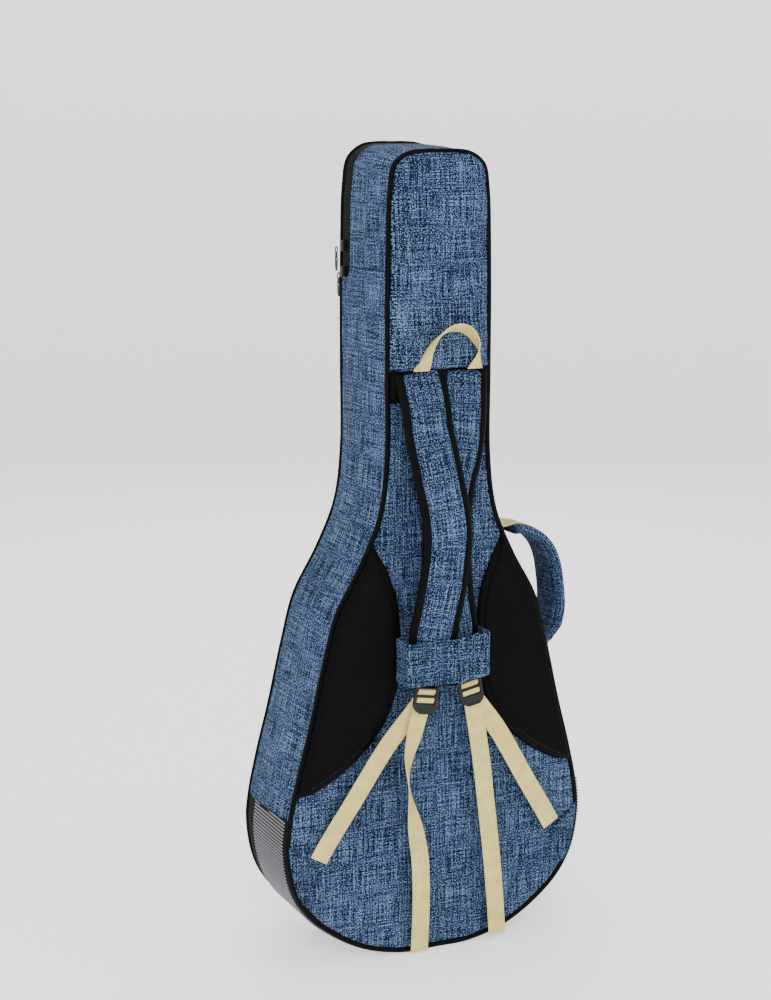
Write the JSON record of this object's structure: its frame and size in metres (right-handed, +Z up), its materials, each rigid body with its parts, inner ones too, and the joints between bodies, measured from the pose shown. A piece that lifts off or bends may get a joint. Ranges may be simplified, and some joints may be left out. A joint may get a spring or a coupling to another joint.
{
  "type": "padded gig bag",
  "caption": "Padded backpack gig bag for a classical guitar: zipped lid, front pocket, air-mesh back pads, shoulder straps with webbing adjusters, side handle and hang loop.",
  "frame": {"origin": "under the middle of the bag, level with its lowest point, with the bag hanging upright by its loop", "axes": "+Z up towards the head, -Y out of the strap side, +Y out of the lid side, +X towards the carrying-handle side"},
  "size_m": [0.4362, 0.2294, 1.0499],
  "materials": {
    "denim": "heathered blue denim-look canvas, woven twill",
    "black_binding": "black grosgrain binding and piping",
    "air_mesh": "black honeycomb spacer mesh",
    "bumper_grey": "grey ribbed wear-resistant fabric",
    "webbing": "sand-coloured ribbed cotton webbing",
    "foam": "closed-cell padding foam",
    "plush": "soft grey brushed lining",
    "hardware_plastic": "black moulded plastic",
    "hardware_metal": "black lacquered zinc"
  },
  "bodies": {
    "shell": {"back_cover": "denim", "back_foam": "foam", "back_lining": "plush", "gusset_cover": "denim", "bumper": "bumper_grey", "gusset_foam": "foam", "gusset_lining": "plush", "zip_tape_shell": "black_binding", "back_piping": "black_binding", "upper_back_pad": "denim", "strap_yoke": "black_binding", "mesh_pad_left": "air_mesh", "mesh_pad_right": "air_mesh", "mesh_binding_left": "black_binding", "mesh_binding_right": "black_binding", "anchor_tab_left": "denim", "anchor_tab_right": "denim", "anchor_webbing_left": "webbing", "anchor_webbing_right": "webbing", "strap_pad_left": "denim", "strap_pad_right": "denim", "strap_binding_left": "black_binding", "strap_binding_right": "black_binding", "webbing_tail_left": "webbing", "webbing_tail_right": "webbing", "hang_loop": "webbing", "strap_handle": "denim", "handle_patch_upper": "black_binding", "handle_patch_lower": "black_binding", "neck_rest": "plush"},
    "lid": {"front_cover": "denim", "front_foam": "foam", "front_lining": "plush", "zip_tape_lid": "black_binding", "front_piping": "black_binding", "pocket_sides": "denim", "pocket_face": "denim", "pocket_zip_tape": "black_binding", "pocket_top": "denim"},
    "pocket_slider": {"pocket_slider": "hardware_metal"},
    "pocket_pull": {"pocket_pull": "hardware_metal"},
    "upper_main_slider": {"upper_main_slider": "hardware_metal"},
    "upper_main_pull": {"upper_main_pull": "hardware_metal"},
    "lower_main_slider": {"lower_main_slider": "hardware_metal"},
    "lower_main_pull": {"lower_main_pull": "hardware_metal"},
    "side_handle": {"side_handle_grip": "denim", "side_handle_webbing": "webbing"},
    "strap_handle_flap": {"strap_handle_flap": "denim"},
    "ladder_lock_left": {"ladder_lock_left": "hardware_plastic"},
    "ladder_lock_right": {"ladder_lock_right": "hardware_plastic"},
    "neck_strap": {"neck_strap": "black_binding"}
  },
  "joints": [
    {"name": "lid_hinge", "type": "hinge", "parent": "shell", "child": "lid", "pos_m": [-0.14535, 0.0811, 0.5855], "axis": [0.1714, 0, 0.9852], "range_deg": [0, 120]},
    {"name": "pocket_slide", "type": "slide", "parent": "lid", "child": "pocket_slider", "axis": [1, 0, 0], "range_m": [0, 0.25]},
    {"name": "pocket_pull_hinge", "type": "hinge", "parent": "pocket_slider", "child": "pocket_pull", "pos_m": [-0.12765, 0.1139, 0.371], "axis": [1, 0, 0], "range_deg": [0, 150]},
    {"name": "upper_main_slide", "type": "slide", "parent": "shell", "child": "upper_main_slider", "axis": [0, 0, 1], "range_m": [0, 0.06]},
    {"name": "upper_main_pull_hinge", "type": "hinge", "parent": "upper_main_slider", "child": "upper_main_pull", "pos_m": [-0.08689, 0.0596, 0.922], "axis": [0, 1, 0], "range_deg": [0, 150]},
    {"name": "lower_main_slide", "type": "slide", "parent": "shell", "child": "lower_main_slider", "axis": [0, 0, 1], "range_m": [-0.006, 0.012]},
    {"name": "lower_main_pull_hinge", "type": "hinge", "parent": "lower_main_slider", "child": "lower_main_pull", "pos_m": [-0.08389, 0.0596, 0.889], "axis": [0, 1, 0], "range_deg": [0, 80]},
    {"name": "side_handle_swing", "type": "hinge", "parent": "shell", "child": "side_handle", "pos_m": [0.14, -0.0194, 0.476], "axis": [0.385, 0, -0.9229], "range_deg": [-15, 15], "stiffness_Nm_per_rad": 0.6},
    {"name": "flap_hinge", "type": "hinge", "parent": "shell", "child": "strap_handle_flap", "pos_m": [0.049, -0.1132, 0.41], "axis": [0, 0, 1], "range_deg": [0, 160]},
    {"name": "neck_strap_hinge", "type": "hinge", "parent": "shell", "child": "neck_strap", "pos_m": [-0.054, 0.0033, 0.74], "axis": [0, 0, 1], "range_deg": [0, 32]},
    {"name": "ladder_lock_left_tilt", "type": "hinge", "parent": "shell", "child": "ladder_lock_left", "pos_m": [-0.03119, -0.0974, 0.36982], "axis": [-0.9872, 0, 0.1593], "range_deg": [0, 35]},
    {"name": "ladder_lock_right_tilt", "type": "hinge", "parent": "shell", "child": "ladder_lock_right", "pos_m": [0.02862, -0.0974, 0.37321], "axis": [-0.9801, 0, -0.1987], "range_deg": [0, 35]}
  ]
}
